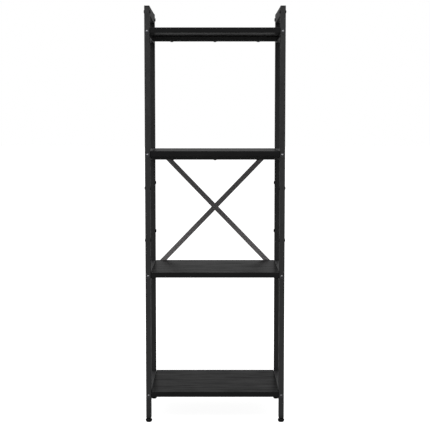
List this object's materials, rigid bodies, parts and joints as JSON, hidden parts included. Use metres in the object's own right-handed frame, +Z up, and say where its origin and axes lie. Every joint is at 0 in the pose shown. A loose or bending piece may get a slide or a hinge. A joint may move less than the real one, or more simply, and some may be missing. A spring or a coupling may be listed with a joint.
{
  "type": "open bookcase",
  "caption": "Tall narrow open bookcase with a bolted steel tube frame, wood shelf boards, side rails, a crossed rear brace and levelling feet, for books and boxes.",
  "frame": {"origin": "on the floor, below the middle of the bookcase", "axes": "+X to the right seen from the front, +Y to the back, +Z up"},
  "size_m": [0.404, 0.3048, 1.198],
  "materials": {
    "black_steel": "fine textured black powder coat, satin",
    "shelf_board": "black melamine faced board with a faint grain, satin",
    "black_bolts": "black coated steel, semi-gloss",
    "black_plastic": "moulded black plastic",
    "zinc_steel": "zinc plated steel"
  },
  "bodies": {
    "frame": {"lower_post_front_left": "black_steel", "upper_post_front_left": "black_steel", "post_sleeve_front_left": "zinc_steel", "top_corner_front_left": "black_plastic", "foot_insert_front_left": "black_plastic", "lower_post_front_right": "black_steel", "upper_post_front_right": "black_steel", "post_sleeve_front_right": "zinc_steel", "top_corner_front_right": "black_plastic", "foot_insert_front_right": "black_plastic", "lower_post_rear_left": "black_steel", "upper_post_rear_left": "black_steel", "post_sleeve_rear_left": "zinc_steel", "top_corner_rear_left": "black_plastic", "foot_insert_rear_left": "black_plastic", "lower_post_rear_right": "black_steel", "upper_post_rear_right": "black_steel", "post_sleeve_rear_right": "zinc_steel", "top_corner_rear_right": "black_plastic", "foot_insert_rear_right": "black_plastic", "top_rail_left": "black_steel", "side_rail_bottom_left": "black_steel", "side_rail_lower_left": "black_steel", "side_rail_upper_left": "black_steel", "side_rail_top_left": "black_steel", "top_rail_right": "black_steel", "side_rail_bottom_right": "black_steel", "side_rail_lower_right": "black_steel", "side_rail_upper_right": "black_steel", "side_rail_top_right": "black_steel", "centre_bar_bottom": "black_steel", "shelf_board_bottom": "shelf_board", "centre_bar_lower": "black_steel", "shelf_board_lower": "shelf_board", "centre_bar_upper": "black_steel", "shelf_board_upper": "shelf_board", "centre_bar_top": "black_steel", "shelf_board_top": "shelf_board", "brace_falling": "black_steel", "brace_rising": "black_steel", "support_tabs": "black_steel", "brace_rivet": "black_bolts", "shelf_bolts": "black_bolts", "post_joint_bolts": "black_bolts", "bar_end_bolts": "black_bolts", "cap_nuts": "black_bolts", "bar_screws": "black_bolts", "brace_screws": "black_bolts", "tab_screws": "black_bolts", "rail_end_nuts": "zinc_steel", "bar_end_nuts": "zinc_steel"},
    "foot_front_left": {"foot_pad_front_left": "black_plastic", "foot_stem_front_left": "zinc_steel"},
    "foot_front_right": {"foot_pad_front_right": "black_plastic", "foot_stem_front_right": "zinc_steel"},
    "foot_rear_left": {"foot_pad_rear_left": "black_plastic", "foot_stem_rear_left": "zinc_steel"},
    "foot_rear_right": {"foot_pad_rear_right": "black_plastic", "foot_stem_rear_right": "zinc_steel"}
  },
  "joints": [
    {"name": "foot_front_left_screw", "type": "slide", "parent": "frame", "child": "foot_front_left", "axis": [0, 0, -1], "range_m": [0, 0.01]},
    {"name": "foot_front_right_screw", "type": "slide", "parent": "frame", "child": "foot_front_right", "axis": [0, 0, -1], "range_m": [0, 0.01]},
    {"name": "foot_rear_left_screw", "type": "slide", "parent": "frame", "child": "foot_rear_left", "axis": [0, 0, -1], "range_m": [0, 0.01]},
    {"name": "foot_rear_right_screw", "type": "slide", "parent": "frame", "child": "foot_rear_right", "axis": [0, 0, -1], "range_m": [0, 0.01]}
  ]
}
